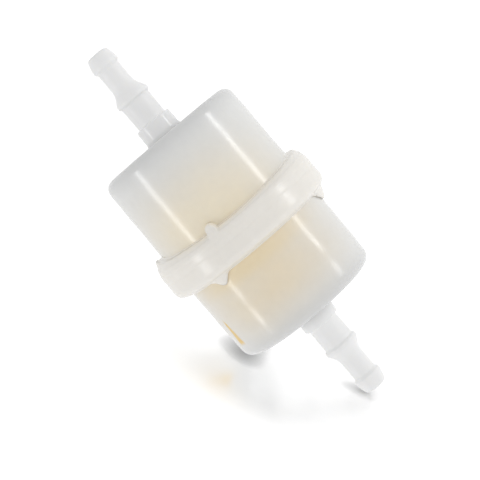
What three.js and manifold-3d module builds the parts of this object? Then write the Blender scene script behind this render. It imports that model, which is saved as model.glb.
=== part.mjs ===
// In-line fuel filter: two translucent half shells with stepped hose spigots, joined by an
// overmoulded ring, around a pleated paper element with its end caps, core, adhesive and seal.
// Millimetres, +Z along the flow axis towards the inlet, origin at the middle of the length.

import * as THREE from "three";
import { mergeVertices } from "three/addons/utils/BufferGeometryUtils.js";
import Module from "manifold-3d";

const wasm = await Module();
wasm.setup();

// ---- driving dimensions -------------------------------------------------------------------

const length = 105; // spigot tip to spigot tip
const bodyHalf = 27.1; // from the middle to the outer face of an end wall
const bodyRadius = 19.5; // at the joint ring
const draft = 0.3; // how much the radius loses from the ring to the end
const cornerRadius = 2.6; // outer edge between wall and end wall
const wall = 1.6;
const endWall = 1.7;
const fit = 0.12; // gap between pieces that touch

const roundSides = 40; // facets of the shells and the ring
const innerSides = 32; // facets of the round inner pieces

// A spigot takes a 6 mm hose on its outer step or an 8 mm hose on its inner step.
const spigot = {
  tipRadius: 2.2,
  beadRadius: 3.55,
  beadHeight: 49.0,
  smallRadius: 2.95, // 6 mm hose
  smallEnd: 42.4,
  barbRadius: 4.5,
  barbHeight: 39.1,
  largeRadius: 3.95, // 8 mm hose
  bossTop: 31.8, // where the hose stops
  bossRadius: 4.85,
  bore: 1.75,
  wideBore: 2.4,
};

// The flanges at the rims of the shells, which the ring grips.
const flange = { radius: 21.3, thickness: 1.5, tongueRadius: 19.5, tongueWidth: 0.6, tongueDepth: 0.9 };

const ring = {
  top: 5.1,
  shoulderRadius: 21.3, // outer edge of the flat top face
  crownRadius: 22.45, // half way down the sloping shoulder
  crownHeight: 3.3,
  upperStraight: 1.4,
  upperRadius: 22.85, // just above the parting line
  parting: -0.7,
  radius: 22.95,
  lowerStraight: -4.1,
  bottom: -6.1,
  footRadius: 20.9, // outer edge of the flat bottom face
};
// The stub left by the injection gate and a tongue of flash, at angles from the front (-Y).
const gateStub = { angle: -16, radius: 20.6, width: 3.0, depth: 1.3, top: 6.4 };
const flash = { angle: -35, width: 3.6, thickness: 0.5, bottom: -8.7 };

const element = {
  top: 20,
  bottom: -21,
  pleats: 26,
  outerRadius: 15.7,
  innerRadius: 7.2,
  foldWidth: 0.7, // across a folded edge
  foldDepth: 1.0, // from a folded edge to the inside of the fold
};
const adhesiveThickness = 0.6;
const cap = { radius: 16.5, thickness: 1.3, rimDepth: 2.2, rimThickness: 0.5, coreSpigot: 1.6 };
const core = { radius: 6.7, wall: 0.8, windowRows: 5, windowColumns: 3, windowWidth: 3.2, windowHeight: 5.2 };
const pegs = { count: 4, radius: 1.1, circle: 11.5 };
const socket = { radius: 3.6, depth: 30.4 }; // takes the element's outlet neck
const neck = { radius: 2.7, bore: 1.8, tip: 29.6 };
const seal = { radius: 3.15, section: 0.36, height: 27.6 };
const seamBead = { angle: -82, width: 1.6, top: -14.5, innerRadius: 16.75, outerRadius: 17.4 };

const tip = length / 2;
const rimGap = fit / 2; // each shell's rim stands off the middle plane by this
const elementTopFace = element.top + fit + adhesiveThickness + fit;
const elementBottomFace = element.bottom - fit - adhesiveThickness - fit;

// ---- materials ----------------------------------------------------------------------------

const plastic = (color, roughness, opacity = 1) =>
  new THREE.MeshStandardMaterial({ color, roughness, metalness: 0, opacity, transparent: opacity < 1 });

const materials = {
  shell: plastic(0xe9e8e3, 0.25, 0.6),
  ring: plastic(0xeeedea, 0.35),
  paper: plastic(0xe6d2a4, 0.9),
  cap: plastic(0xf0eee8, 0.5),
  adhesive: plastic(0xd9a33c, 0.4),
  rubber: plastic(0x2b2b2b, 0.8),
};

// ---- geometry helpers ---------------------------------------------------------------------

// Turns a closed (radius, height) path about Z. Equal neighbouring points are dropped.
function turned(path, sides, arcSteps = 2) {
  const points = path.getPoints(arcSteps);
  const distinct = points.filter((p, i) => i === 0 || p.distanceTo(points[i - 1]) > 1e-4);
  if (distinct[0].distanceTo(distinct.at(-1)) > 1e-4) distinct.push(distinct[0].clone());
  distinct[distinct.length - 1].copy(distinct[0]);
  return new THREE.LatheGeometry(distinct, sides).rotateX(Math.PI / 2);
}

// A closed path through (radius, height) pairs joined by straight lines.
function polygon(pairs) {
  const path = new THREE.Path();
  path.moveTo(...pairs[0]);
  pairs.slice(1).forEach((pair) => path.lineTo(...pair));
  path.lineTo(...pairs[0]);
  return path;
}

function toSolid(geometry) {
  const plain = geometry.clone();
  plain.deleteAttribute("normal");
  plain.deleteAttribute("uv");
  const merged = mergeVertices(plain, 1e-3);
  const vertProperties = new Float32Array(merged.attributes.position.array);
  const triVerts = new Uint32Array(merged.index.array);
  return new wasm.Manifold(new wasm.Mesh({ numProp: 3, vertProperties, triVerts }));
}

function toGeometry(solid) {
  const mesh = solid.getMesh();
  const geometry = new THREE.BufferGeometry();
  geometry.setAttribute("position", new THREE.BufferAttribute(mesh.vertProperties, 3));
  geometry.setIndex(new THREE.BufferAttribute(mesh.triVerts, 1));
  geometry.computeVertexNormals();
  return geometry;
}

const joined = (first, ...others) => toGeometry(others.reduce((a, b) => a.add(toSolid(b)), toSolid(first)));
const cut = (first, ...others) => toGeometry(others.reduce((a, b) => a.subtract(toSolid(b)), toSolid(first)));

// Turns a geometry standing at the front (-Y) about Z to its angle; negative is to the left (-X).
const atAngle = (geometry, degrees) => geometry.rotateZ(THREE.MathUtils.degToRad(degrees));

// ---- shells -------------------------------------------------------------------------------

// The outside of a half shell, from the flange's rim up over the end wall to the spigot's tip.
function outsideOfShell(path) {
  const s = spigot;
  const endRadius = bodyRadius - draft;
  path.lineTo(flange.radius, rimGap + flange.thickness);
  path.lineTo(bodyRadius, rimGap + flange.thickness);
  path.lineTo(endRadius, bodyHalf - cornerRadius);
  path.absarc(endRadius - cornerRadius, bodyHalf - cornerRadius, cornerRadius, 0, Math.PI / 2);
  path.lineTo(s.bossRadius + 0.6, bodyHalf);
  path.lineTo(s.bossRadius, bodyHalf + 0.6);
  path.lineTo(s.bossRadius - 0.05, s.bossTop - 0.3);
  path.lineTo(s.bossRadius - 0.35, s.bossTop);
  path.lineTo(s.largeRadius, s.bossTop);
  path.lineTo(s.largeRadius, s.barbHeight - 1.0);
  path.lineTo(s.barbRadius, s.barbHeight);
  path.lineTo(s.smallRadius + 0.35, s.smallEnd - 0.8);
  path.lineTo(s.smallRadius, s.smallEnd);
  path.lineTo(s.smallRadius, s.beadHeight - 0.9);
  path.lineTo(s.beadRadius, s.beadHeight);
  path.lineTo(s.smallRadius, tip - 1.1);
  path.lineTo(s.tipRadius + 0.25, tip);
}

// The bore and the chamber, from the spigot's tip down to the inner edge of the rim.
function insideOfShell(path, holdsElementNeck) {
  const s = spigot;
  const innerCorner = cornerRadius - 1;
  const chamberRadius = bodyRadius - wall;
  const chamberTop = bodyHalf - endWall;
  const cornerCentre = [chamberRadius - draft - innerCorner, chamberTop - innerCorner];
  path.lineTo(s.bore, tip);
  path.lineTo(s.bore, s.smallEnd - 1);
  path.lineTo(s.wideBore, s.barbHeight - 2);
  if (holdsElementNeck) {
    path.lineTo(s.wideBore, socket.depth);
    path.lineTo(socket.radius, socket.depth);
    path.lineTo(socket.radius, chamberTop);
  } else {
    path.lineTo(s.wideBore, chamberTop + 1);
    path.lineTo(s.wideBore + 1, chamberTop);
  }
  path.lineTo(cornerCentre[0], chamberTop);
  path.absarc(...cornerCentre, innerCorner, Math.PI / 2, 0, true);
  path.lineTo(chamberRadius, rimGap);
}

// The rim's edge carries a tongue on the inlet shell and the groove for it on the outlet shell.
function rimOfShell(path, hasTongue) {
  const play = hasTongue ? 0 : fit;
  const depth = hasTongue ? -flange.tongueDepth : flange.tongueDepth + fit;
  const inner = flange.tongueRadius - flange.tongueWidth / 2 - play;
  const outer = flange.tongueRadius + flange.tongueWidth / 2 + play;
  path.lineTo(inner, rimGap);
  path.lineTo(inner, rimGap + depth);
  path.lineTo(outer, rimGap + depth);
  path.lineTo(outer, rimGap);
}

function halfShell({ isOutlet }) {
  const path = new THREE.Path();
  path.moveTo(flange.radius, rimGap);
  outsideOfShell(path);
  insideOfShell(path, isOutlet);
  rimOfShell(path, !isOutlet);
  path.lineTo(flange.radius, rimGap);
  return turned(path, roundSides);
}

// ---- joint ring ---------------------------------------------------------------------------

function ringBand() {
  const gripRadius = bodyRadius + fit;
  const channelRadius = flange.radius + fit;
  const channelHalf = rimGap + flange.thickness + fit;
  return turned(
    polygon([
      [gripRadius, ring.bottom],
      [ring.footRadius, ring.bottom],
      [ring.radius - 0.6, ring.lowerStraight - 1.2],
      [ring.radius, ring.lowerStraight],
      [ring.radius, ring.parting],
      [ring.upperRadius, ring.parting],
      [ring.upperRadius, ring.upperStraight],
      [ring.crownRadius, ring.crownHeight],
      [ring.shoulderRadius + 0.5, ring.top - 0.4],
      [ring.shoulderRadius, ring.top],
      [gripRadius, ring.top],
      [gripRadius, channelHalf],
      [channelRadius, channelHalf],
      [channelRadius, -channelHalf],
      [gripRadius, -channelHalf],
    ]),
    roundSides,
  );
}

// A small round-topped block standing on the ring's top face.
function gateStubBlock() {
  const half = gateStub.width / 2;
  const base = ring.top - 1;
  const shoulder = gateStub.top - half * 0.6;
  const outline = new THREE.Shape();
  outline.moveTo(-half, base);
  outline.lineTo(half, base);
  outline.lineTo(half, shoulder);
  outline.quadraticCurveTo(half * 0.8, gateStub.top, 0, gateStub.top);
  outline.quadraticCurveTo(-half * 0.8, gateStub.top, -half, shoulder);
  const block = new THREE.ExtrudeGeometry(outline, {
    depth: gateStub.depth,
    bevelEnabled: false,
    curveSegments: 3,
  });
  block.rotateX(Math.PI / 2).translate(0, -gateStub.radius + gateStub.depth / 2, 0);
  return atAngle(block, gateStub.angle);
}

// A thin triangle of flash that runs from under the ring down the outlet shell's wall.
function flashTongue() {
  const base = ring.bottom + 0.8;
  const outline = new THREE.Shape();
  outline.moveTo(flash.width / 2, base);
  outline.lineTo(-flash.width / 2, base);
  outline.lineTo(-flash.width * 0.08, flash.bottom);
  outline.lineTo(flash.width * 0.08, flash.bottom);
  const wedge = new THREE.ExtrudeGeometry(outline, { depth: flash.thickness, bevelEnabled: false });
  wedge.rotateX(Math.PI / 2).translate(0, -bodyRadius - fit, 0);
  return atAngle(wedge, flash.angle);
}

// ---- filter element -----------------------------------------------------------------------

// One side of the folded paper: out and in once per pleat, as polar points.
// flatAt is the radius where the folded edge is flat, pointAt where the fold comes to a point.
function pleatOutline(path, flatAt, pointAt, flatPhase) {
  const pitch = (2 * Math.PI) / element.pleats;
  const halfFlat = element.foldWidth / 2 / flatAt;
  const polar = (r, a) => [r * Math.cos(a), r * Math.sin(a)];
  for (let i = 0; i < element.pleats; i++) {
    const centre = (i + flatPhase) * pitch;
    const first = polar(flatAt, centre - halfFlat);
    if (i === 0) path.moveTo(...first);
    else path.lineTo(...first);
    path.lineTo(...polar(flatAt, centre + halfFlat));
    path.lineTo(...polar(pointAt, centre + pitch / 2));
  }
  path.closePath();
}

function pleatPack() {
  const { outerRadius, innerRadius, foldDepth } = element;
  const outline = new THREE.Shape();
  pleatOutline(outline, outerRadius, innerRadius + foldDepth, 0);
  const hollow = new THREE.Path();
  pleatOutline(hollow, innerRadius, outerRadius - foldDepth, 0.5);
  outline.holes.push(hollow);
  const height = element.top - element.bottom;
  const pack = new THREE.ExtrudeGeometry(outline, { depth: height, bevelEnabled: false });
  return pack.translate(0, 0, element.bottom);
}

// A tube with rows of windows, each box cutting both sides of the wall.
function coreTube() {
  const { radius, wall: thickness, windowRows, windowColumns, windowWidth, windowHeight } = core;
  const bottom = element.bottom + fit;
  const top = element.top - fit;
  const tube = turned(
    polygon([
      [radius - thickness, bottom],
      [radius, bottom],
      [radius, top],
      [radius - thickness, top],
    ]),
    innerSides,
  );
  const windows = [];
  for (let row = 0; row < windowRows; row++) {
    const z = bottom + ((row + 0.5) / windowRows) * (top - bottom);
    for (let column = 0; column < windowColumns; column++) {
      const box = new THREE.BoxGeometry(windowWidth, 3 * radius, windowHeight);
      windows.push(box.translate(0, 0, z).rotateZ(((column + 0.5) * Math.PI) / windowColumns));
    }
  }
  return cut(tube, ...windows);
}

// The adhesive that bonds one end of the pleats to its cap.
function adhesiveRing(low) {
  return turned(
    polygon([
      [core.radius + fit, low],
      [element.outerRadius, low],
      [element.outerRadius, low + adhesiveThickness],
      [core.radius + fit, low + adhesiveThickness],
    ]),
    innerSides,
  );
}

// A closed disc whose rim turns down round the pleats, with pegs that keep it off the end wall.
function inletEndCap() {
  const face = elementTopFace;
  const top = face + cap.thickness;
  const plugRadius = core.radius - core.wall - fit;
  const disc = turned(
    polygon([
      [0, face - cap.coreSpigot],
      [plugRadius, face - cap.coreSpigot],
      [plugRadius, face],
      [cap.radius - cap.rimThickness, face],
      [cap.radius - cap.rimThickness, face - cap.rimDepth],
      [cap.radius, face - cap.rimDepth],
      [cap.radius, top - 0.4],
      [cap.radius - 0.4, top],
      [0, top],
    ]),
    innerSides,
  );
  const pegTop = bodyHalf - endWall - fit;
  const pegHeight = pegTop - top + 0.5;
  const standing = [];
  for (let i = 0; i < pegs.count; i++) {
    const peg = new THREE.CylinderGeometry(pegs.radius * 0.8, pegs.radius, pegHeight, 10);
    peg.rotateX(Math.PI / 2).translate(pegs.circle, 0, pegTop - pegHeight / 2);
    standing.push(peg.rotateZ(((i + 0.5) * 2 * Math.PI) / pegs.count));
  }
  return joined(disc, ...standing);
}

// An open disc with the neck that carries the filtered fuel into the outlet shell's socket.
function outletEndCap() {
  const face = elementBottomFace;
  const bottom = face - cap.thickness;
  const plugRadius = core.radius - core.wall - fit;
  return turned(
    polygon([
      [neck.bore, -neck.tip],
      [neck.radius - 0.2, -neck.tip],
      [neck.radius, -neck.tip + 0.3],
      [neck.radius, -seal.height + seal.section + fit],
      [socket.radius - fit, -seal.height + seal.section + fit],
      [socket.radius - fit, bottom - 0.6],
      [socket.radius + 0.6, bottom],
      [cap.radius - 0.4, bottom],
      [cap.radius, bottom + 0.4],
      [cap.radius, face + cap.rimDepth],
      [cap.radius - cap.rimThickness, face + cap.rimDepth],
      [cap.radius - cap.rimThickness, face],
      [plugRadius, face],
      [plugRadius, face + cap.coreSpigot],
      [plugRadius - 0.8, face + cap.coreSpigot],
      [neck.bore, bottom],
    ]),
    innerSides,
  );
}

function outletSeal() {
  const path = new THREE.Path();
  path.absarc(seal.radius, -seal.height, seal.section, 0, 2 * Math.PI);
  return turned(path, innerSides, 4);
}

// A run of adhesive along the paper's closing seam, thickest at the outlet end.
function seamAdhesive() {
  const { width, top, innerRadius, outerRadius } = seamBead;
  const bottom = elementBottomFace + 0.4;
  const outline = new THREE.Shape();
  outline.moveTo(innerRadius, bottom);
  outline.lineTo(outerRadius, bottom);
  outline.lineTo(outerRadius, bottom + 2.6);
  outline.lineTo(innerRadius + 0.25, top);
  outline.lineTo(innerRadius, top);
  const bead = new THREE.ExtrudeGeometry(outline, { depth: width, bevelEnabled: false });
  bead.translate(0, 0, -width / 2).rotateX(Math.PI / 2).rotateZ(-Math.PI / 2);
  return atAngle(bead, seamBead.angle);
}

// ---- assembly -----------------------------------------------------------------------------

function node(name, geometry, material) {
  const mesh = new THREE.Mesh(geometry, material);
  mesh.name = name;
  return mesh;
}

const outletShell = node("outlet_shell", halfShell({ isOutlet: true }), materials.shell);
outletShell.rotation.x = Math.PI; // the same half shell, turned end for end

const housing = new THREE.Group();
housing.add(
  node("inlet_shell", halfShell({ isOutlet: false }), materials.shell),
  outletShell,
  node("joint_ring", joined(ringBand(), gateStubBlock(), flashTongue()), materials.ring),
);

const filterElement = new THREE.Group();
filterElement.add(
  node("pleated_paper", pleatPack(), materials.paper),
  node("core_tube", coreTube(), materials.cap),
  node("inlet_end_cap", inletEndCap(), materials.cap),
  node("outlet_end_cap", outletEndCap(), materials.cap),
  node("inlet_adhesive", adhesiveRing(element.top + fit), materials.adhesive),
  node("outlet_adhesive", adhesiveRing(element.bottom - fit - adhesiveThickness), materials.adhesive),
  node("seam_adhesive", seamAdhesive(), materials.adhesive),
  node("outlet_seal", outletSeal(), materials.rubber),
);

const fuelFilter = new THREE.Group();
fuelFilter.add(housing, filterElement);

export default fuelFilter;
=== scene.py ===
import math

import bpy
import numpy as np
from mathutils import Matrix, Vector


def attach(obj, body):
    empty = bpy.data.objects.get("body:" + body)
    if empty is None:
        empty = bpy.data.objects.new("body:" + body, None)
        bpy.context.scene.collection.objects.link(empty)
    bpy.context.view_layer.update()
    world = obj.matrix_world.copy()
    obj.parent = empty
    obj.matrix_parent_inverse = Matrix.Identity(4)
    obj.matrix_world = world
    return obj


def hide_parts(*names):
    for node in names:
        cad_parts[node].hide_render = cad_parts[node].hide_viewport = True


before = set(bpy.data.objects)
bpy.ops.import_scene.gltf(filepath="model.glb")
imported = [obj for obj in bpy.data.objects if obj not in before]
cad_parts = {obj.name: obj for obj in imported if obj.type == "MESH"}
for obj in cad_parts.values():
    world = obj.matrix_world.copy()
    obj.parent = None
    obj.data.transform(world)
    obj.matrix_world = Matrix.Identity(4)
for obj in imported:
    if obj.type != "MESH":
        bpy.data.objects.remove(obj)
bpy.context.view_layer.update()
mm = 0.001  # the dictionaries below are in millimetres and degrees
turn = 2 * math.pi
print("frame loaded:", len(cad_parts), "nodes")


viewSettings = {
    "distance": 350,
    "elevation": 3.6,  # above the plane across the filter's axis
    "roll": 40.2,  # how far the inlet end leans to the left
    "lens": 108.7,
    "aim": (0.58, -4.35),  # what the middle of the frame looks at, right and up from the origin
}


# The camera looks along -back. right and up are the frame's own, turned by roll about back.
def addCamera(settings):
    lift = math.radians(settings["elevation"])
    roll = math.radians(settings["roll"])
    back = Vector((0, -math.cos(lift), math.sin(lift)))
    level = Vector((1, 0, 0))
    rise = Vector((0, math.sin(lift), math.cos(lift)))
    right = level * math.cos(roll) - rise * math.sin(roll)
    up = level * math.sin(roll) + rise * math.cos(roll)
    place = back * settings["distance"] * mm
    aim = (right * settings["aim"][0] + up * settings["aim"][1]) * mm
    back = (place - aim).normalized()
    right = up.cross(back).normalized()
    up = back.cross(right)
    camera = bpy.data.objects.new("camera", bpy.data.cameras.new("camera"))
    camera.matrix_world = Matrix.Translation(place) @ Matrix((right, up, back)).transposed().to_4x4()
    camera.data.lens = settings["lens"]
    camera.data.clip_start = 0.01
    camera.data.clip_end = 20
    bpy.context.collection.objects.link(camera)
    bpy.context.scene.camera = camera


addCamera(viewSettings)
print("camera set")


# Rounds each corner of a path with an arc tangent to its two sides. corners holds rows of
# (radius, height, fillet); the tangent length is fillet / tan(half the angle between the sides).
def rounded(corners, closed=True, arcSteps=5):
    corners = np.array(corners, float)
    points, fillets = corners[:, :2], corners[:, 2]
    path = []
    for i, point in enumerate(points):
        atEnd = not closed and i in (0, len(points) - 1)
        if fillets[i] <= 0 or atEnd:
            path.append(point[None])
            continue
        before = points[i - 1] - point
        after = points[(i + 1) % len(points)] - point
        lengths = np.array([np.linalg.norm(before), np.linalg.norm(after)])
        before, after = before / lengths[0], after / lengths[1]
        half = math.acos(np.clip(before @ after, -0.9999, 0.9999)) / 2
        reach = min(fillets[i] / math.tan(half), 0.48 * lengths.min())
        radius = reach * math.tan(half)
        middle = (before + after) / np.linalg.norm(before + after)
        centre = point + middle * radius / math.sin(half)
        start, end = point + before * reach - centre, point + after * reach - centre
        sweep = math.acos(np.clip(start @ end / radius**2, -1, 1))
        steps = max(2, math.ceil(arcSteps * sweep / (math.pi / 2)) + 1)
        share = np.linspace(0, 1, steps)[:, None]
        arc = (np.sin((1 - share) * sweep) * start + np.sin(share * sweep) * end) / math.sin(sweep)
        path.append(centre + arc)
    return np.vstack(path)


# Cuts each side of a path into equal steps no longer than spacing.
def evenly(path, spacing, closed=True):
    following = np.roll(path, -1, axis=0)
    lengths = np.linalg.norm(following - path, axis=1)
    counts = np.maximum(1, np.ceil(lengths / spacing).astype(int))
    if not closed:
        counts[-1] = 1
    owner = np.repeat(np.arange(len(path)), counts)
    step = np.arange(len(owner)) - np.repeat(np.cumsum(counts) - counts, counts)
    share = (step / counts[owner])[:, None]
    if not closed:
        share[-1] = 0
    return path[owner] * (1 - share) + following[owner] * share


# Makes a mesh from a grid of points in millimetres, rows by columns. Columns always wrap round;
# rows wrap too, or else the first and last row shrink to one point each, which closes both ends.
def gridPiece(name, grid, rowsWrap=True):
    rows, columns = grid.shape[:2]
    index = np.arange(rows * columns).reshape(rows, columns)
    lower = index if rowsWrap else index[:-1]
    upper = np.roll(index, -1, axis=0) if rowsWrap else index[1:]
    quads = np.stack([lower, np.roll(lower, -1, axis=1), np.roll(upper, -1, axis=1), upper], -1)
    points = grid.reshape(-1, 3) * mm
    faces = quads.reshape(-1, 4).tolist()
    if not rowsWrap:
        poles = np.array([grid[0].mean(axis=0), grid[-1].mean(axis=0)]) * mm
        first, last = index[0], index[-1]
        bottom = np.stack([np.full(columns, len(points)), np.roll(first, -1), first], -1)
        top = np.stack([np.full(columns, len(points) + 1), last, np.roll(last, -1)], -1)
        faces += np.vstack([bottom, top]).tolist()
        points = np.vstack([points, poles])
    mesh = bpy.data.meshes.new(name)
    mesh.from_pydata(points.tolist(), [], faces)
    mesh.shade_smooth()
    piece = bpy.data.objects.new(name, mesh)
    bpy.context.collection.objects.link(piece)
    return piece


# Turns a path about Z: x = radius cos(angle), y = radius sin(angle). relief may move each point
# first: it takes the radii, heights and angles and returns new radii and heights.
def turnedGrid(path, around, relief=None):
    angle = np.linspace(0, turn, around, endpoint=False)[None, :]
    radius = np.repeat(path[:, :1], around, axis=1)
    height = np.repeat(path[:, 1:2], around, axis=1)
    if relief:
        radius, height = relief(radius, height, np.repeat(angle, len(path), axis=0))
    return np.stack([radius * np.cos(angle), radius * np.sin(angle), height], -1)


# The same points turned half a turn about X, for a piece at the outlet end.
def endForEnd(grid):
    return grid * np.array([1, -1, -1])


# 0 below low, 1 above high, and 3t^2 - 2t^3 between them.
def ramp(value, low, high):
    t = np.clip((value - low) / (high - low), 0, 1)
    return t * t * (3 - 2 * t)


# The signed angle from one direction to another, between minus and plus half a turn.
def angleFrom(angle, centre):
    return (angle - math.radians(centre) + math.pi) % turn - math.pi


# Gives a piece its material and its body, and hides the CAD node that it stands for.
def finishPiece(piece, node, material):
    piece.data.materials.append(material)
    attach(piece, "root")
    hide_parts(node)


class Nodes:
    # A short way to add nodes to a material's tree and link them.
    def __init__(self, name):
        self.material = bpy.data.materials.new(name)
        self.material.use_nodes = True
        self.tree = self.material.node_tree
        self.surface = self.tree.nodes["Principled BSDF"]
        self.output = self.tree.nodes["Material Output"]
        self.place = self.add("ShaderNodeTexCoord").outputs["Object"]

    def add(self, kind, **settings):
        node = self.tree.nodes.new(kind)
        for key, value in settings.items():
            setattr(node, key, value)
        return node

    def link(self, source, target):
        self.tree.links.new(source, target)
        return target

    # Noise at so many cells per millimetre; stretch squeezes it along each axis.
    def noise(self, scale, detail=3.0, roughness=0.5, stretch=(1, 1, 1)):
        mapping = self.add("ShaderNodeMapping")
        mapping.inputs["Scale"].default_value = stretch
        self.link(self.place, mapping.inputs["Vector"])
        node = self.add("ShaderNodeTexNoise")
        node.inputs["Scale"].default_value = scale / mm
        node.inputs["Detail"].default_value = detail
        node.inputs["Roughness"].default_value = roughness
        self.link(mapping.outputs["Vector"], node.inputs["Vector"])
        return node.outputs["Fac"]

    # A straight-line map from one range to another.
    def span(self, value, fromLow, fromHigh, toLow, toHigh, smooth=False):
        node = self.add("ShaderNodeMapRange")
        node.interpolation_type = "SMOOTHSTEP" if smooth else "LINEAR"
        node.inputs["From Min"].default_value = fromLow
        node.inputs["From Max"].default_value = fromHigh
        node.inputs["To Min"].default_value = toLow
        node.inputs["To Max"].default_value = toHigh
        self.link(value, node.inputs["Value"])
        return node.outputs["Result"]

    def math(self, operation, first, second=None):
        node = self.add("ShaderNodeMath", operation=operation)
        for socket, value in zip(node.inputs, (first, second)):
            if value is None:
                continue
            if isinstance(value, (int, float)):
                socket.default_value = value
            else:
                self.link(value, socket)
        return node.outputs["Value"]

    def mix(self, share, first, second):
        node = self.add("ShaderNodeMix", data_type="RGBA")
        for socket, value in zip((node.inputs[0], node.inputs[6], node.inputs[7]), (share, first, second)):
            if isinstance(value, (int, float)):
                socket.default_value = value
            elif isinstance(value, tuple):
                socket.default_value = (*value, 1)
            else:
                self.link(value, socket)
        return node.outputs[2]

    # Bumps add up: each is (height, strength, distance in millimetres).
    def bumps(self, *layers):
        normal = None
        for height, strength, distance in layers:
            node = self.add("ShaderNodeBump")
            node.inputs["Strength"].default_value = strength
            node.inputs["Distance"].default_value = distance * mm
            self.link(height, node.inputs["Height"])
            if normal:
                self.link(normal, node.inputs["Normal"])
            normal = node.outputs["Normal"]
        self.link(normal, self.surface.inputs["Normal"])

    def set(self, **values):
        names = {
            "color": "Base Color",
            "roughness": "Roughness",
            "ior": "IOR",
            "scatter": "Subsurface Weight",
            "scatterRadius": "Subsurface Radius",
            "scatterScale": "Subsurface Scale",
            "sheen": "Sheen Weight",
            "sheenRoughness": "Sheen Roughness",
        }
        for key, value in values.items():
            socket = self.surface.inputs[names[key]]
            if hasattr(value, "is_output"):
                self.link(value, socket)
            elif key == "color":
                socket.default_value = (*value, 1)
            else:
                socket.default_value = value


shellFinish = {
    "white": (0.81, 0.812, 0.80),
    "endPaintedShade": (0.735, 0.738, 0.735),  # painted shade: the body's ends are painted greyer, with nothing pale behind them
    "endFrom": (21.0, 26.5),  # distances from the middle where the painted shade starts and is full
    "spigotPaintedLight": (0.95, 0.95, 0.948),  # painted light: the spigots' thin walls let more light through, painted as a paler white
    "inletFrom": (27.0, 28.6),
    "outletFrom": (27.3, 31.5),
    "cream": (0.97, 0.865, 0.67),  # the element's warmth on the inlet half
    "lowerCream": (0.89, 0.78, 0.595),  # and on the outlet half
    "creamChange": (-5, 5),
    "creamBand": (-27.5, -15, 6, 25),  # heights where the warmth starts, is full, fades and ends
    "clouds": 0.8,  # the share of the warmth left where it is thinnest
    "sides": 0.12,  # how much of the warmth is left at the sides, painted paler there for the look of the wall seen at a slant
    "warmest": -12,  # degrees from the front, where it is strongest
    "underRingShade": (0.89, 0.765, 0.54),  # painted shade: a darker, warmer band under the ring, where it shades the wall
    "underRingShadeBand": (-11.5, -8, -6.5, -5.5),
    "underRingShadeFocus": 1.8,  # a higher power keeps the painted shade nearer the front
    "roughness": 0.17,
    "spigotRoughness": 0.42,
    "spigotFrom": (31.2, 32.6),
    "scatterDepth": 0.05,
    "glue": (0.84, 0.60, 0.22),
    "glueAngle": -67,  # from the front, where the seam's glue shows through the wall
    "glueHeights": (-23.2, -21.9, -16.5, -14.6),
    "glueHalfWidths": (1.6, 0.24),  # at the bottom and at the top
}


# 0 to 1 to 0 over the four heights of a band in millimetres, with smooth ramps.
def bandShare(look, height, band):
    low, full, fade, high = (value * mm for value in band)
    rising = look.span(height, low, full, 0, 1, smooth=True)
    falling = look.span(height, fade, high, 1, 0, smooth=True)
    return look.math("MULTIPLY", rising, falling)


# How far a point lies along a direction given by its angle from the front.
def along(look, degrees):
    angle = math.radians(degrees)
    node = look.add("ShaderNodeVectorMath", operation="DOT_PRODUCT")
    node.inputs[1].default_value = (math.sin(angle), -math.cos(angle), 0)
    look.link(look.place, node.inputs[0])
    return node.outputs["Value"]


# A drop-shaped patch on the outside of the wall: |across| / half width, where the half width
# shrinks upwards, inside a band of heights.
def glueShare(look, height, s):
    bottom, _, _, top = (value * mm for value in s["glueHeights"])
    wide, narrow = (value * mm for value in s["glueHalfWidths"])
    across = look.math("ABSOLUTE", along(look, s["glueAngle"] + 90))
    halfWidth = look.span(height, bottom, top, wide, narrow)
    ragged = look.span(look.noise(0.7, 3, 0.6), 0.3, 0.7, 0.85, 1.15)
    ratio = look.math("DIVIDE", across, look.math("MULTIPLY", halfWidth, ragged))
    inside = look.span(ratio, 0.45, 1.25, 1, 0, smooth=True)
    onThisSide = look.math("GREATER_THAN", along(look, s["glueAngle"]), 0)
    share = look.math("MULTIPLY", bandShare(look, height, s["glueHeights"]), inside)
    return look.math("MULTIPLY", share, onThisSide)


# u^2 / (u^2 + v^2) with u along a direction and v across it: 1 towards the direction and opposite
# it, and low instead of 0 at the sides.
def facingShare(look, degrees, low):
    u, v = along(look, degrees), along(look, degrees + 90)
    uu, vv = look.math("MULTIPLY", u, u), look.math("MULTIPLY", v, v)
    share = look.math("DIVIDE", uu, look.math("MAXIMUM", look.math("ADD", uu, vv), 1e-9))
    return look.span(share, 0, 1, low, 1)


# The color times a cloudy grey between low and high.
def tinted(look, color, low, high):
    clouds = look.noise(0.45, 5, 0.6)
    dulled = look.span(clouds, 0.25, 0.75, low, high)
    shade = look.add("ShaderNodeCombineColor")
    for channel in ("Red", "Green", "Blue"):
        look.link(dulled, shade.inputs[channel])
    node = look.add("ShaderNodeMix", data_type="RGBA", blend_type="MULTIPLY")
    node.inputs[0].default_value = 1
    look.link(color, node.inputs[6])
    look.link(shade.outputs["Color"], node.inputs[7])
    return node.outputs[2]


# Scattering, gloss and moulding marks that the shells and the ring share. The roughness wanders
# a little round its value, and a slow flow and a fine grain make the bumps.
def milkySurface(look, color, roughness, settings):
    scuffs = look.noise(0.25, 3, 0.45)
    look.set(
        color=tinted(look, color, 0.965, 1.0),
        roughness=look.math("ADD", look.span(scuffs, 0.3, 0.7, -0.015, 0.025), roughness),
        ior=1.52,
        scatter=0.4,
        scatterRadius=(1.0, 0.97, 0.9),
        scatterScale=settings["scatterDepth"] * mm,
    )
    flow = look.noise(0.16, 2, 0.4, stretch=(1, 1, 0.5))
    grain = look.noise(3.0, 3, 0.6)
    look.bumps((flow, 0.35, 0.12), (grain, 0.12, 0.02))
    return look.material
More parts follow.
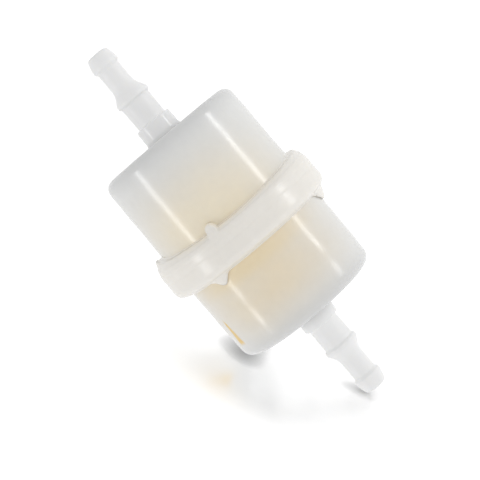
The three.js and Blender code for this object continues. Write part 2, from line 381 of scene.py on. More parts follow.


# Milky polymer: wall white, with painted shade at the body's ends, then the element's warmth as band x
# clouds x facing share, painted paler at the sides, a painted shade band below the ring, the glue's patch
# and the spigots' painted light.
def milkyShell(s):
    look = Nodes("milkyShell")
    parts = look.add("ShaderNodeSeparateXYZ")
    look.link(look.place, parts.inputs["Vector"])
    height = parts.outputs["Z"]
    cloudy = look.span(look.noise(0.09, 4, 0.55), 0.3, 0.7, s["clouds"], 1.0)
    warm = look.math("MULTIPLY", bandShare(look, height, s["creamBand"]), cloudy)
    # Painted light: the warmth is painted weaker towards the sides, for the paler look of the wall seen at
    # a slant.
    warmthPaintedPaleAtSides = facingShare(look, s["warmest"], s["sides"])
    # Painted shade: the wall is painted greyer towards the body's ends.
    fromMiddle = look.math("ABSOLUTE", height)
    low, high = (value * mm for value in s["endFrom"])
    wall = look.mix(look.span(fromMiddle, low, high, 0, 1, smooth=True), s["white"], s["endPaintedShade"])
    low, high = (value * mm for value in s["creamChange"])
    cream = look.mix(look.span(height, low, high, 0, 1), s["lowerCream"], s["cream"])
    color = look.mix(look.math("MULTIPLY", warm, warmthPaintedPaleAtSides), wall, cream)
    # Painted shade: a darker band under the ring, strongest at the front.
    nearFront = look.math("POWER", facingShare(look, s["warmest"], 0), s["underRingShadeFocus"])
    underRingShade = look.math("MULTIPLY", bandShare(look, height, s["underRingShadeBand"]), nearFront)
    color = look.mix(underRingShade, color, s["underRingShade"])
    color = look.mix(glueShare(look, height, s), color, s["glue"])
    # Painted light: the spigots are painted paler for the light that comes through their thin walls.
    depth = look.math("MULTIPLY", height, -1)
    for level, band in ((height, s["inletFrom"]), (depth, s["outletFrom"])):
        low, high = (value * mm for value in band)
        color = look.mix(look.span(level, low, high, 0, 1, smooth=True), color, s["spigotPaintedLight"])
    low, high = (value * mm for value in s["spigotFrom"])
    matt = look.span(fromMiddle, low, high, s["roughness"], s["spigotRoughness"])
    return milkySurface(look, color, matt, s)


ring = {
    "top": 5.1,
    "shoulderRadius": 21.3,
    "crownRadius": 22.42,
    "crownHeight": 3.3,
    "straightTop": 1.4,
    "radius": 22.9,
    "straightEnd": -4.0,
    "bottom": -6.0,
    "footRadius": 20.7,
    "grip": 19.38,
    "bite": 0.2,  # the ends of its two lips lie this much inside the grip
    "cove": 0.9,  # how long each lip is
    "channelGrip": 19.54,
    "channelRadius": 21.36,
    "channelHalf": 1.62,
    "offWall": (19.5, 19.7),  # radii where the relief starts and where it is full
    "onRim": (22, 22.4),
    "lines": (1.15, -0.7),  # fine witness lines round the outside
    "lineDepth": 0.11,
    "lineHalfWidth": 0.28,
    "frontDip": 1.7,  # how far the upper edge dips at the front
    "stubAt": -16,  # angles are degrees from the front
    "stubHeight": 0.3,
    "stubRadius": 21.9,
    "stubHalfWidth": 1.35,
    "nibAt": -90,
    "nibHeight": 0.55,
    "nibHalfWidth": 2.2,
    "nibRadii": (20.3, 20.8, 21.4, 22.2),
    "dripAt": -35,
    "dripLength": 2.8,
    "dripHalfWidth": 2.1,
    "dripRadius": 20.9,  # where it starts
    "dripDepth": 1.4,  # and how far inwards it reaches its length
    "skirtAt": 92,
    "skirtHalf": (12, 34),  # full to the first angle and gone at the second
    "skirtRadii": (19.8, 21.6),
    "dotAt": -36,
    "dotHeight": -2.5,
    "dotSize": 0.5,
    "dotRise": 0.05,
    "around": 400,
    "spacing": 0.24,
}


ringFinish = {
    "white": (0.918, 0.886, 0.83),
    "edge": (0.915, 0.80, 0.615),  # painted bounce light and shade: the warm body's colour on the ring's upper edge, which faces it
    "whiteBand": (-20, -19, 2.3, 4.4),  # heights between which it stays white
    "warmest": -3,
    "focus": 3,  # a higher power keeps the warm edge nearer the front
    "stubHalfWidth": 1.9,  # the stub stays white inside an oval of this size
    "stubMiddle": 2.8,
    "stubHalfHeight": 2.9,
    "roughness": 0.24,
    "scatterDepth": 0.05,
}


# White, with painted bounce light and shade from the warm body on its upper edge: out of band x facing
# share^focus x off the stub's oval.
def milkyRing(s):
    look = Nodes("milkyRing")
    parts = look.add("ShaderNodeSeparateXYZ")
    look.link(look.place, parts.inputs["Vector"])
    outOfBand = look.math("SUBTRACT", 1, bandShare(look, parts.outputs["Z"], s["whiteBand"]))
    across = look.math("ABSOLUTE", along(look, ring["stubAt"] + 90))
    up = look.math("ABSOLUTE", look.math("SUBTRACT", parts.outputs["Z"], s["stubMiddle"] * mm))
    wide = look.math("POWER", look.math("DIVIDE", across, s["stubHalfWidth"] * mm), 2)
    tall = look.math("POWER", look.math("DIVIDE", up, s["stubHalfHeight"] * mm), 2)
    offStub = look.span(look.math("ADD", wide, tall), 0.45, 1.15, 0, 1, smooth=True)
    offStub = look.math("MAXIMUM", offStub, look.math("LESS_THAN", along(look, ring["stubAt"]), 0))
    # Painted bounce light and shade: the upper edge takes the warm body's colour, strongest at the front.
    nearFront = look.math("POWER", facingShare(look, s["warmest"], 0), s["focus"])
    edge = look.math("MULTIPLY", look.math("MULTIPLY", outOfBand, nearFront), offStub)
    return milkySurface(look, look.mix(edge, s["white"], s["edge"]), s["roughness"], s)


paperFinish = {"light": (0.86, 0.76, 0.55), "dark": (0.78, 0.64, 0.40), "roughness": 0.85}


# Resin-treated paper: blotches of resin times drawn-out fibres, with a fine grain in the bumps.
def filterPaper(settings):
    look = Nodes("filterPaper")
    blotches = look.noise(0.25, 4, 0.6)
    fibres = look.noise(2.2, 6, 0.7, stretch=(1, 1, 0.3))
    stained = look.span(blotches, 0.3, 0.7, 0, 1)
    share = look.math("MULTIPLY", stained, look.span(fibres, 0.3, 0.7, 0.4, 1))
    look.set(
        color=look.mix(share, settings["light"], settings["dark"]),
        roughness=look.span(fibres, 0.3, 0.7, settings["roughness"] - 0.1, settings["roughness"] + 0.08),
        sheen=0.15,
        sheenRoughness=0.6,
    )
    look.bumps((fibres, 0.5, 0.06), (look.noise(6, 3, 0.6), 0.3, 0.02))
    return look.material


capFinish = {"light": (0.88, 0.875, 0.85), "dark": (0.80, 0.79, 0.76), "roughness": 0.42}


# Moulded nylon with slow clouds of tone and a fine grain.
def whitePlastic(settings):
    look = Nodes("whitePlastic")
    clouds = look.noise(0.2, 4, 0.5)
    grain = look.noise(2.5, 4, 0.6)
    look.set(
        color=look.mix(look.span(clouds, 0.35, 0.75, 0, 1), settings["light"], settings["dark"]),
        roughness=look.span(grain, 0.3, 0.7, settings["roughness"] - 0.06, settings["roughness"] + 0.1),
        ior=1.49,
        scatter=0.4,
        scatterRadius=(1.0, 0.95, 0.85),
        scatterScale=0.6 * mm,
    )
    look.bumps((clouds, 0.2, 0.1), (grain, 0.25, 0.02))
    return look.material


glueFinish = {"thin": (0.86, 0.60, 0.20), "thick": (0.62, 0.34, 0.07), "roughness": 0.28}


# Cured adhesive, thin and pale in places and thick and dark in others.
def amberGlue(settings):
    look = Nodes("amberGlue")
    swirls = look.noise(0.5, 3, 0.5)
    look.set(
        color=look.mix(look.span(swirls, 0.3, 0.7, 0, 1), settings["thin"], settings["thick"]),
        roughness=look.span(swirls, 0.3, 0.7, settings["roughness"] - 0.08, settings["roughness"] + 0.12),
        ior=1.48,
        scatter=0.6,
        scatterRadius=(1.0, 0.6, 0.2),
        scatterScale=0.8 * mm,
    )
    look.bumps((swirls, 0.4, 0.2), (look.noise(2, 3, 0.5), 0.15, 0.03))
    return look.material


sealFinish = {"base": (0.018, 0.018, 0.019), "bloom": (0.06, 0.06, 0.062), "roughness": 0.6}


# Black rubber with a greyish bloom in patches.
def blackRubber(settings):
    look = Nodes("blackRubber")
    bloom = look.noise(1.2, 5, 0.65)
    look.set(
        color=look.mix(look.span(bloom, 0.45, 0.75, 0, 1), settings["base"], settings["bloom"]),
        roughness=look.span(bloom, 0.3, 0.7, settings["roughness"] - 0.1, settings["roughness"] + 0.15),
    )
    look.bumps((look.noise(5, 3, 0.6), 0.3, 0.02))
    return look.material


shellMaterial = milkyShell(shellFinish)
ringMaterial = milkyRing(ringFinish)
paperMaterial = filterPaper(paperFinish)
capMaterial = whitePlastic(capFinish)
glueMaterial = amberGlue(glueFinish)
rubberMaterial = blackRubber(sealFinish)
print("materials made")


shell = {
    "wall": 1.6,
    "bodyRadius": 19.5,
    "endRadius": 19.2,
    "bodyEnd": 27.1,
    "corner": 2.6,
    "endWall": 1.7,
    "flangeRadius": 21.3,
    "flange": 1.5,
    "rimGap": 0.06,
    "bossRadius": 4.85,
    "bossEnd": 31.8,
    "neckRadius": 3.95,
    "barbRadius": 4.5,
    "barbAt": 39.1,
    "tipNeckRadius": 2.95,
    "coneEnd": 42.4,
    "beadRadius": 3.55,
    "beadAt": 49.0,
    "tip": 52.5,
    "bore": 1.75,
    "wideBore": 2.4,
    "socketRadius": 3.6,  # takes the outlet cap's neck
    "socketEnd": 30.4,
    "waves": 0.03,  # how far the moulded wall wanders from round
    "seamHeight": 0.06,  # ridge where the spigot's mould halves met
    "seamHalfWidth": 0.2,
    "around": 190,
    "spacing": 0.5,
}


# The half shell's section: up the outside from the flange to the tip and down the inside.
def shellPath(s, isOutlet):
    inner = s["bodyRadius"] - s["wall"]
    roof = s["bodyEnd"] - s["endWall"]
    outside = [
        (s["flangeRadius"], s["rimGap"], 0.15),
        (s["flangeRadius"], s["rimGap"] + s["flange"], 0.2),
        (s["bodyRadius"], s["rimGap"] + s["flange"], 0.1),
        (s["endRadius"], s["bodyEnd"], s["corner"]),
        (s["bossRadius"] + 0.35, s["bodyEnd"] - 0.05, 0.6),
        (s["bossRadius"] - 0.02, s["bodyEnd"] + 0.9, 0.5),
        (s["bossRadius"] - 0.1, s["bossEnd"], 0.35),
        (s["neckRadius"] - 0.08, s["bossEnd"], 0.25),
        (s["neckRadius"], s["barbAt"] - 1.0, 0.3),
        (s["barbRadius"], s["barbAt"] - 0.5, 0.3),
        (s["barbRadius"] - 0.05, s["barbAt"] + 0.4, 0.5),
        (s["tipNeckRadius"] + 0.3, s["coneEnd"] - 0.9, 1.6),
        (s["tipNeckRadius"], s["coneEnd"] + 0.4, 1.5),
        (s["tipNeckRadius"], s["beadAt"] - 1.0, 0.3),
        (s["beadRadius"], s["beadAt"] - 0.3, 0.3),
        (s["beadRadius"] - 0.02, s["beadAt"] + 0.6, 0.6),
        (s["tipNeckRadius"] - 0.1, s["tip"] - 0.2, 0.7),
        (s["bore"] + 0.35, s["tip"], 0.25),
    ]
    inside = [
        (s["bore"], s["tip"], 0.25),
        (s["bore"], s["coneEnd"] - 1, 0.5),
        (s["wideBore"], s["barbAt"] - 2, 0.5),
    ]
    if isOutlet:
        inside += [
            (s["wideBore"], s["socketEnd"], 0.1),
            (s["socketRadius"], s["socketEnd"], 0.15),
            (s["socketRadius"], roof, 0.25),
        ]
    else:
        inside += [(s["wideBore"], roof + 0.8, 0.6), (s["wideBore"] + 1, roof, 0.4)]
    inside += [
        (s["endRadius"] - s["wall"], roof, s["corner"] - 1),
        (inner, s["rimGap"] + 2, 0),
        (inner, s["rimGap"], 0.1),
    ]
    return evenly(rounded(outside + inside), s["spacing"])


# The wall wanders by waves x sin(angle and height), fading out under the ring. The spigot leans a
# little and carries a ridge of height x exp(-(distance / half width)^2) along each side.
def shellRelief(radius, height, angle):
    s = shell
    outer = ramp(radius, s["bore"] + 0.2, s["tipNeckRadius"] - 0.3)
    onBody = ramp(height, 7, 11) * (1 - ramp(height, 24, 27)) * ramp(radius, 15, 17)
    waves = np.sin(2 * angle + 0.42 * height) + 0.6 * np.sin(3 * angle - 0.9 * height + 1)
    radius = radius + s["waves"] * waves * onBody
    onSpigot = ramp(height, s["bodyEnd"] + 1, s["bodyEnd"] + 2) * outer
    sideways = np.abs(np.sin(angle)) * radius
    ridge = np.exp(-((sideways / s["seamHalfWidth"]) ** 2)) * s["seamHeight"]
    radius = radius + ridge * onSpigot
    tilt = 0.05 * np.sin(angle + 0.8) * onSpigot * ramp(height, 33, 52)
    return radius + tilt, height


# Both halves are the same section turned about Z, and the outlet's is then turned end for end.
def addShells():
    inletGrid = turnedGrid(shellPath(shell, False), shell["around"], shellRelief)
    inlet = gridPiece("inletShell", inletGrid)
    finishPiece(inlet, "inlet_shell", shellMaterial)
    outletGrid = turnedGrid(shellPath(shell, True), shell["around"], shellRelief)
    outlet = gridPiece("outletShell", endForEnd(outletGrid))
    finishPiece(outlet, "outlet_shell", shellMaterial)
    print("shells:", len(inlet.data.polygons), "and", len(outlet.data.polygons), "faces")


addShells()


# The ring's section: up the outside from the lower lip to the upper one, then round the channel
# that holds the shells' flanges.
def ringPath(s):
    return evenly(
        rounded(
            [
                (s["grip"] - s["bite"], s["bottom"] - s["cove"], 0.02),
                (s["grip"] + 0.1, s["bottom"], 0.7),
                (s["footRadius"], s["bottom"] + 0.1, 0.8),
                (s["radius"] - 0.45, s["straightEnd"] - 1.1, 1.2),
                (s["radius"], s["straightEnd"], 1.2),
                (s["radius"], s["straightTop"], 1.2),
                (s["crownRadius"], s["crownHeight"], 1.2),
                (s["shoulderRadius"], s["top"] - 0.1, 0.7),
                (s["grip"] + 0.1, s["top"], 0.9),
                (s["grip"] - s["bite"], s["top"] + s["cove"], 0.02),
                (s["channelGrip"], s["channelHalf"], 0.1),
                (s["channelRadius"], s["channelHalf"], 0.1),
                (s["channelRadius"], -s["channelHalf"], 0.1),
                (s["channelGrip"], -s["channelHalf"], 0.1),
            ]
        ),
        s["spacing"],
    )


# Heights move by length x a bump over the angle: the upper edge dips at the front by frontDip x
# cos(angle), the gate's stub and a nib stand up from it, and the drip and a skirt of flash hang
# from the underside near the wall. The outside has two witness grooves and one raised dot.
def ringRelief(radius, height, angle):
    s = ring
    facing = angle + math.pi / 2  # from the front, -Y
    outer = ramp(radius, *s["offWall"])
    onTop = ramp(height, s["top"] - 2.0, s["top"] - 0.3) * outer
    onFoot = (1 - ramp(height, s["bottom"] + 0.2, s["bottom"] + 1.2)) * outer
    stubAcross = angleFrom(facing, s["stubAt"]) * radius
    stub = np.sqrt(np.clip(1 - (stubAcross / s["stubHalfWidth"]) ** 2, 0, 1))
    rise = s["stubHeight"] * stub * ramp(radius, 19.6, 19.8)
    inFront = np.maximum(np.cos(facing), 0) * (1 - stub * outer)
    height = height - s["frontDip"] * inFront * ramp(height, s["channelHalf"], s["top"] - 0.1)
    onShoulder = ramp(height, 1.5, 2.6) * ramp(radius, 20.0, 20.6)
    stubFace = s["stubRadius"] + 0.4 - 0.25 * (height - 2.5)
    radius = radius + stub * onShoulder * np.maximum(stubFace - radius, 0)
    nibAcross = angleFrom(facing, s["nibAt"]) * radius
    nib = np.exp(-((nibAcross / s["nibHalfWidth"]) ** 2))
    inside, full, fade, outside = s["nibRadii"]
    nibDeep = ramp(radius, inside, full) * (1 - ramp(radius, fade, outside))
    rise = rise + s["nibHeight"] * (nib * nibDeep)
    dripAcross = angleFrom(facing, s["dripAt"]) * radius
    drip = np.exp(-((dripAcross / s["dripHalfWidth"]) ** 2))
    dripDeep = np.clip((s["dripRadius"] - radius) / s["dripDepth"], 0, 1)
    skirtAcross = np.degrees(np.abs(angleFrom(facing, s["skirtAt"])))
    skirt = (1 - ramp(skirtAcross, *s["skirtHalf"])) * (1 - ramp(radius, *s["skirtRadii"]))
    fall = s["dripLength"] * np.maximum(drip * dripDeep, skirt)
    wander = 0.05 * np.sin(5 * angle) + 0.04 * np.sin(11 * angle + 2)
    height = height + onTop * (rise + wander) - onFoot * (fall + wander)
    rimWaves = 0.03 * np.sin(4 * angle + 0.5) + 0.02 * np.sin(9 * angle)
    radius = radius + (rimWaves - 0.06) * ramp(radius, 21.6, 22.2)
    for line in s["lines"]:
        groove = np.exp(-(((height - line) / s["lineHalfWidth"]) ** 2))
        radius = radius - s["lineDepth"] * groove * ramp(radius, *s["onRim"])
    dotAway = np.hypot(angleFrom(facing, s["dotAt"]) * radius, height - s["dotHeight"])
    dot = np.exp(-((dotAway / s["dotSize"]) ** 2)) * ramp(radius, *s["onRim"])
    return radius + s["dotRise"] * dot, height


# The section turned about Z, with the relief on it.
def addRing():
    piece = gridPiece("jointRing", turnedGrid(ringPath(ring), ring["around"], ringRelief))
    finishPiece(piece, "joint_ring", ringMaterial)
    print("ring:", len(piece.data.polygons), "faces")


addRing()


pleats = {
    "count": 26,
    "outer": 15.6,
    "inner": 7.3,
    "top": 20.0,
    "bottom": -21.0,
    "thickness": 0.42,
    "sharpness": 0.988,
    "lean": 0.10,  # how far the pleats sway along their length
    "emboss": 0.03,
    "perPleat": 26,
    "rows": 40,
}


# The sheet's middle line is radius = middle + swing x asin(sharpness x sin(count x angle)), and
# its two faces stand half a thickness to either side along the line's normal.
def addPleats(s):
    count = s["count"] * s["perPleat"]
    angle = np.linspace(0, turn, count, endpoint=False)
    up = np.linspace(0, 1, s["rows"])
    half = s["thickness"] / 2
    swing = (s["outer"] - s["inner"]) / 2 - half
    middle = (s["outer"] + s["inner"]) / 2
    fold = np.arcsin(s["sharpness"] * np.sin(s["count"] * angle)) / math.asin(s["sharpness"])
    radius = middle + swing * fold
    line = np.stack([radius * np.cos(angle), radius * np.sin(angle)], -1)
    tangent = np.roll(line, -1, axis=0) - np.roll(line, 1, axis=0)
    tangent /= np.linalg.norm(tangent, axis=1)[:, None]
    normal = np.stack([tangent[:, 1], -tangent[:, 0]], -1)
    height = s["bottom"] + up * (s["top"] - s["bottom"])
    lean = s["lean"] * np.sin(turn * up * 3)[:, None] * np.sin(s["count"] * angle * 0.5 + 1)[None, :]
    sway = lean[..., None] * normal[None] * np.sin(math.pi * up)[:, None, None]
    emboss = s["emboss"] * np.sin(height * 4)[:, None, None] * normal[None]
    outerFace = line[None] + normal[None] * half + sway + emboss
    innerFace = line[None] - normal[None] * half + sway + emboss
    heights = np.repeat(height[:, None], count, axis=1)[..., None]
    outerFace = np.concatenate([outerFace, heights], -1)
    innerFace = np.concatenate([innerFace, heights], -1)[::-1]
    grid = np.concatenate([outerFace, innerFace], axis=0)
    piece = gridPiece("pleatedPaper", grid)
    finishPiece(piece, "pleated_paper", paperMaterial)
    print("pleats:", len(piece.data.polygons), "faces")


addPleats(pleats)


core = {
    "radius": 6.7,
    "wall": 0.8,
    "bottom": -20.88,
    "top": 19.88,
    "columns": 6,
    "rows": 5,
    "windowWidth": 3.2,
    "windowHeight": 5.2,
    "around": 144,
    "levels": 160,
}


# A cylinder of squares with the windows' squares left out; the wall is then thickened inwards.
def addCore(s):
    heights = np.arange(s["bottom"], s["top"] + 0.01, (s["top"] - s["bottom"]) / s["levels"])
    angle = np.linspace(0, turn, s["around"], endpoint=False)
    upright = np.ones(len(heights))
    points = np.stack(
        [
            np.outer(upright, s["radius"] * np.cos(angle)),
            np.outer(upright, s["radius"] * np.sin(angle)),
            np.outer(heights, np.ones(len(angle))),
        ],
        -1,
    )
    index = np.arange(points.shape[0] * points.shape[1]).reshape(points.shape[:2])
    lower, upper = index[:-1], index[1:]
    quads = np.stack([lower, np.roll(lower, -1, axis=1), np.roll(upper, -1, axis=1), upper], -1)
    middleAngle = angle + turn / s["around"] / 2
    middleHeight = (heights[:-1] + heights[1:]) / 2
    pitch = turn / s["columns"]
    across = (middleAngle % pitch) - pitch / 2
    inColumn = np.abs(np.sin(across)) * s["radius"] < s["windowWidth"] / 2
    rowPitch = (s["top"] - s["bottom"]) / s["rows"]
    inRow = np.abs((middleHeight - s["bottom"]) % rowPitch - rowPitch / 2) < s["windowHeight"] / 2
    solid = ~(inRow[:, None] & inColumn[None, :])
    used = quads[solid]
    kept, renumbered = np.unique(used, return_inverse=True)
    mesh = bpy.data.meshes.new("coreTube")
    corners = points.reshape(-1, 3)[kept] * mm
    mesh.from_pydata(corners.tolist(), [], renumbered.reshape(-1, 4).tolist())
    mesh.shade_smooth()
    piece = bpy.data.objects.new("coreTube", mesh)
    bpy.context.collection.objects.link(piece)
    thicken = piece.modifiers.new("wall", "SOLIDIFY")
    thicken.thickness = s["wall"] * mm
    thicken.offset = -1
    finishPiece(piece, "core_tube", capMaterial)
    print("core tube:", len(mesh.polygons), "faces before its wall")


addCore(core)


caps = {
    "radius": 16.5,
    "rim": 0.5,
    "inletFace": 20.84,
    "outletFace": -21.84,
    "thickness": 1.3,
    "rimDepth": 2.2,
    "plugRadius": 5.78,
    "plugDepth": 1.6,
    "pegTop": 24.78,
    "pegRadius": 1.1,
    "pegCircle": 11.5,
    "pegs": 4,
    "outletBore": 1.8,
    "snoutRadius": 2.7,  # the outlet cap's neck, which carries the seal
    "snoutEnd": -29.6,
    "collarRadius": 3.48,
    "collarEnd": -27.12,
    "footRadius": 4.2,  # where the neck meets the plate
    "plugWall": 0.8,
    "around": 320,
    "spacing": (0.3, 0.35),  # on the inlet cap and on the outlet cap
}


# The pegs are the top face raised by height x ramp of the distance to the nearest peg's centre.
def pegRelief(radius, height, angle):
    s = caps
    top = s["inletFace"] + s["thickness"]
    pitch = turn / s["pegs"]
    nearest = (angle % pitch) - pitch / 2
    away = np.hypot(radius * np.cos(nearest) - s["pegCircle"], radius * np.sin(nearest))
    peg = 1 - ramp(away, s["pegRadius"] - 0.25, s["pegRadius"] + 0.1)
    onTop = ramp(height, top - 0.05, top - 0.01)
    return radius, height + onTop * peg * (s["pegTop"] - top)


# Two plates turned about Z. Each has a rim round the pleats and a plug in the core tube's end.
def addCaps(s):
    face, top = s["inletFace"], s["inletFace"] + s["thickness"]
    inletPath = rounded(
        [
            (0, face - s["plugDepth"], 0),
            (s["plugRadius"], face - s["plugDepth"], 0.3),
            (s["plugRadius"], face, 0.2),
            (s["radius"] - s["rim"], face, 0.1),
            (s["radius"] - s["rim"], face - s["rimDepth"], 0.15),
            (s["radius"], face - s["rimDepth"], 0.15),
            (s["radius"], top, 0.45),
            (0, top, 0),
        ],
        closed=False,
    )
    inletPath = evenly(inletPath, s["spacing"][0], closed=False)
    inletPath = inletPath[inletPath[:, 0] > 1e-6]
    inletGrid = turnedGrid(inletPath, s["around"], pegRelief)
    inlet = gridPiece("inletEndCap", inletGrid, rowsWrap=False)
    finishPiece(inlet, "inlet_end_cap", capMaterial)

    face, low = s["outletFace"], s["outletFace"] - s["thickness"]
    outletPath = rounded(
        [
            (s["outletBore"], s["snoutEnd"], 0.15),
            (s["snoutRadius"], s["snoutEnd"], 0.3),
            (s["snoutRadius"], s["collarEnd"], 0.1),
            (s["collarRadius"], s["collarEnd"], 0.1),
            (s["collarRadius"], low - 0.5, 0.3),
            (s["footRadius"], low, 0.5),
            (s["radius"], low, 0.45),
            (s["radius"], face + s["rimDepth"], 0.15),
            (s["radius"] - s["rim"], face + s["rimDepth"], 0.15),
            (s["radius"] - s["rim"], face, 0.1),
            (s["plugRadius"], face, 0.2),
            (s["plugRadius"], face + s["plugDepth"], 0.2),
            (s["plugRadius"] - s["plugWall"], face + s["plugDepth"], 0.2),
            (s["outletBore"], low, 1.0),
        ]
    )
    outletPath = evenly(outletPath, s["spacing"][1])
    outlet = gridPiece("outletEndCap", turnedGrid(outletPath, s["around"]))
    finishPiece(outlet, "outlet_end_cap", capMaterial)
    print("end caps:", len(inlet.data.polygons), "and", len(outlet.data.polygons), "faces")


addCaps(caps)


glue = {
    "inner": 6.84,
    "outer": 15.55,
    "thickness": 0.6,
    "inletLow": 20.12,
    "outletLow": -21.72,
    "clearance": 0.04,  # between the bed and its neighbours
    "around": 360,
    "spacing": 0.25,
}


# A flat bed whose edge wanders with the pleats: radius + swell x sin(pleat count x angle).
def glueRelief(radius, height, angle):
    edge = ramp(radius, 14.8, 15.4)
    swell = 0.12 * np.sin(pleats["count"] * angle) + 0.06 * np.sin(7 * angle + 1)
    ripple = 0.04 * np.sin(pleats["count"] * angle) * (1 - edge)
    return radius + edge * (swell - 0.1), height + ripple * 0.5


# One bed under each cap: a flat ring section turned about Z.
def addGlueBeds(s):
    for name, node, low in (
        ("inletGlue", "inlet_adhesive", s["inletLow"]),
        ("outletGlue", "outlet_adhesive", s["outletLow"]),
    ):
        high = low + s["thickness"] - s["clearance"]
        low = low + s["clearance"]
        corners = [
            (s["inner"], low, 0.15),
            (s["outer"], low, 0.25),
            (s["outer"], high, 0.25),
            (s["inner"], high, 0.15),
        ]
        path = evenly(rounded(corners), s["spacing"])
        bed = gridPiece(name, turnedGrid(path, s["around"], glueRelief))
        finishPiece(bed, node, glueMaterial)


addGlueBeds(glue)


seam = {
    "angle": -82,
    "top": -14.5,
    "bottom": -21.4,
    "halfWidth": 0.78,
    "innerRadius": 16.75,
    "outerRadius": 17.4,
    "steps": 90,
    "around": 32,
}


# A bead carried up the seam: an oval whose width and depth swell and thin along the height.
def addSeamBead(s):
    share = np.linspace(0.004, 0.996, s["steps"])
    body = np.sqrt(np.clip(1 - np.abs(2 * share - 1) ** 5, 0, 1))
    swell = 0.62 + 0.38 * np.cos(share * math.pi)
    lumps = 1 + 0.08 * np.sin(share * 17) + 0.05 * np.sin(share * 31 + 1)
    width = s["halfWidth"] * body * (0.5 + 0.5 * swell) * lumps
    depth = (s["outerRadius"] - s["innerRadius"]) / 2 * body * (0.45 + 0.55 * swell)
    height = s["bottom"] + share * (s["top"] - s["bottom"])
    oval = np.linspace(0, turn, s["around"], endpoint=False)
    middle = (s["innerRadius"] + s["outerRadius"]) / 2
    outward = middle + depth[:, None] * np.cos(oval)[None]
    sideways = width[:, None] * np.sin(oval)[None]
    face = math.radians(s["angle"] - 90)
    grid = np.stack(
        [
            outward * math.cos(face) - sideways * math.sin(face),
            outward * math.sin(face) + sideways * math.cos(face),
            np.repeat(height[:, None], s["around"], axis=1),
        ],
        -1,
    )
    bead = gridPiece("seamGlue", grid, rowsWrap=False)
    finishPiece(bead, "seam_adhesive", glueMaterial)


addSeamBead(seam)


seal = {"radius": 3.15, "section": 0.36, "height": -27.6, "around": 160, "sides": 28}


# A ring of round section with a fine moulding line round its outside.
def addSeal(s):
    side = np.linspace(0, turn, s["sides"], endpoint=False)
    section = s["section"] * (1 + 0.04 * np.exp(-((np.sin(side / 2) / 0.12) ** 2)))
    path = np.stack([s["radius"] + section * np.cos(side), s["height"] + section * np.sin(side)], -1)
    piece = gridPiece("outletSeal", turnedGrid(path, s["around"]))
    finishPiece(piece, "outlet_seal", rubberMaterial)


addSeal(seal)
print("element finished")


floorSettings = {
    "contactAngle": 165,  # which side of the round body touches it
    "between": (-11, 3, -40),  # halfway between the two places that touch it
    "slope": 31.3,  # between the filter's axis and the floor
    "depth": 29.55,  # from the origin down to it
    "size": 3000,
    "open": 1.15,  # brightness away from the filter
    "glow": 0.145,  # what the floor adds to the reflection near the filter
    "reach": (30, 52),  # where the reflection starts to fade and where it ends
    "contact": 3.8,  # how far the contact shadow reaches
    "darkest": 0.38,  # what is left of the light where the filter touches
    "blur": 0.28,  # the reflection's roughness
}


# A plane under the body's lower corner and the outlet's tip, seen from above only. Near the filter
# it is glow + reflection, both darkened by the contact shadow, and further off it is plain light.
def addFloor(s):
    slope, side = math.radians(s["slope"]), math.radians(s["contactAngle"])
    level = Vector((math.cos(side), math.sin(side), 0))
    down = level * math.cos(slope) - Vector((0, 0, math.sin(slope)))
    mesh = bpy.data.meshes.new("floor")
    half = s["size"] * mm / 2
    corners = [(-half, -half, 0), (half, -half, 0), (half, half, 0), (-half, half, 0)]
    mesh.from_pydata(corners, [], [(0, 1, 2, 3)])
    floor = bpy.data.objects.new("floor", mesh)
    bpy.context.collection.objects.link(floor)
    turned = (-down).to_track_quat("Z", "Y").to_matrix().to_4x4()
    floor.matrix_world = Matrix.Translation(down * s["depth"] * mm) @ turned
    look = Nodes("paleFloor")
    contact = look.add("ShaderNodeAmbientOcclusion")
    contact.samples = 24
    contact.inputs["Distance"].default_value = s["contact"] * mm
    shade = look.span(contact.outputs["AO"], 0, 1, s["darkest"], 1)
    glow = look.add("ShaderNodeEmission")
    look.link(look.math("MULTIPLY", shade, s["glow"]), glow.inputs["Strength"])
    reflection = look.add("ShaderNodeBsdfGlossy")
    reflection.inputs["Roughness"].default_value = s["blur"]
    look.link(shade, reflection.inputs["Color"])
    near = look.add("ShaderNodeAddShader")
    look.link(glow.outputs[0], near.inputs[0])
    look.link(reflection.outputs[0], near.inputs[1])
    far = look.add("ShaderNodeEmission")
    far.inputs["Strength"].default_value = s["open"]
    centre = floor.matrix_world.inverted() @ (Vector(s["between"]) * mm)
    away = look.add("ShaderNodeVectorMath", operation="DISTANCE")
    look.link(look.place, away.inputs[0])
    away.inputs[1].default_value = (centre.x, centre.y, 0)
    full, gone = (value * mm for value in s["reach"])
    polished = look.add("ShaderNodeMixShader")
    look.link(look.span(away.outputs["Value"], full, gone, 0, 1, smooth=True), polished.inputs[0])
    look.link(near.outputs[0], polished.inputs[1])
    look.link(far.outputs[0], polished.inputs[2])
    clear = look.add("ShaderNodeBsdfTransparent")
    choose = look.add("ShaderNodeMixShader")
    look.link(look.add("ShaderNodeNewGeometry").outputs["Backfacing"], choose.inputs[0])
    look.link(polished.outputs[0], choose.inputs[1])
    look.link(clear.outputs[0], choose.inputs[2])
    look.link(choose.outputs[0], look.output.inputs["Surface"])
    look.material.cycles.emission_sampling = "NONE"
    mesh.materials.append(look.material)
    floor.visible_shadow = False
    floor.visible_glossy = False
    floor.visible_diffuse = False
    floor.visible_transmission = False


addFloor(floorSettings)


lamps = {
    "left": {"angle": -67, "distance": 700, "width": 80, "height": 330, "power": 0.52, "lift": 45},
    "right": {"angle": 69, "distance": 700, "width": 85, "height": 330, "power": 0.62, "lift": 45},
}


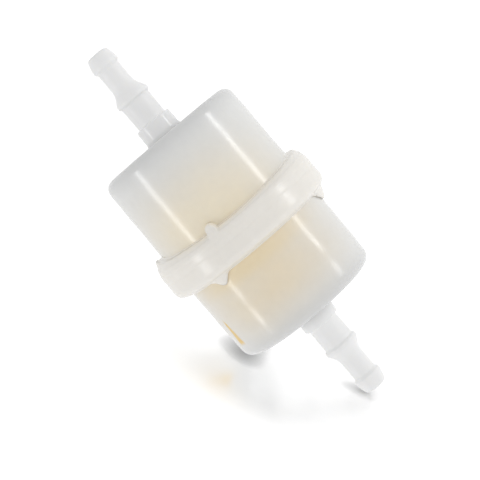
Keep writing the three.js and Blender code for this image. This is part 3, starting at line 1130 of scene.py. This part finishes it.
# Upright strip lights round the filter, each turned to face the middle of the scene.
def addLamps(settings):
    for name, s in settings.items():
        angle = math.radians(s["angle"])
        place = Vector((math.sin(angle), -math.cos(angle), 0)) * s["distance"] * mm
        place.z = s["lift"] * mm
        data = bpy.data.lights.new(name, "AREA")
        data.shape = "RECTANGLE"
        data.size = s["width"] * mm
        data.size_y = s["height"] * mm
        data.energy = s["power"]
        lamp = bpy.data.objects.new(name, data)
        back = place.normalized()
        up = Vector((0, 0, 1))
        turned = Matrix((up.cross(back), up, back)).transposed().to_4x4()
        lamp.matrix_world = Matrix.Translation(place) @ turned
        lamp.visible_camera = False
        bpy.context.collection.objects.link(lamp)


addLamps(lamps)


sky = {
    "base": 0.835,
    "slope": (0.04, 0.12, -0.12),
    "seen": 1.15,  # its brightness to the camera itself
    "diffuseBounces": 12,
    "allBounces": 16,
}


# A white surround whose brightness is base + slope . direction, and plain where the camera sees it.
def addSurround(s):
    world = bpy.data.worlds.new("surround")
    bpy.context.scene.world = world
    world.use_nodes = True
    tree = world.node_tree
    background = tree.nodes["Background"]
    place = tree.nodes.new("ShaderNodeTexCoord")
    tilt = tree.nodes.new("ShaderNodeVectorMath")
    tilt.operation = "DOT_PRODUCT"
    tilt.inputs[1].default_value = s["slope"]
    tree.links.new(place.outputs["Generated"], tilt.inputs[0])
    level = tree.nodes.new("ShaderNodeMath")
    level.operation = "ADD"
    level.inputs[1].default_value = s["base"]
    tree.links.new(tilt.outputs["Value"], level.inputs[0])
    tree.links.new(level.outputs["Value"], background.inputs["Strength"])
    plain = tree.nodes.new("ShaderNodeBackground")
    plain.inputs["Strength"].default_value = s["seen"]
    plain.inputs["Color"].default_value = (1, 1, 1, 1)
    background.inputs["Color"].default_value = (1, 1, 1, 1)
    choose = tree.nodes.new("ShaderNodeMixShader")
    tree.links.new(tree.nodes.new("ShaderNodeLightPath").outputs["Is Camera Ray"], choose.inputs[0])
    tree.links.new(background.outputs[0], choose.inputs[1])
    tree.links.new(plain.outputs[0], choose.inputs[2])
    tree.links.new(choose.outputs[0], tree.nodes["World Output"].inputs["Surface"])


addSurround(sky)
scene = bpy.context.scene
scene.view_settings.view_transform = "Standard"
scene.cycles.diffuse_bounces = sky["diffuseBounces"]
scene.cycles.max_bounces = sky["allBounces"]
print("floor, lamps and surround set")
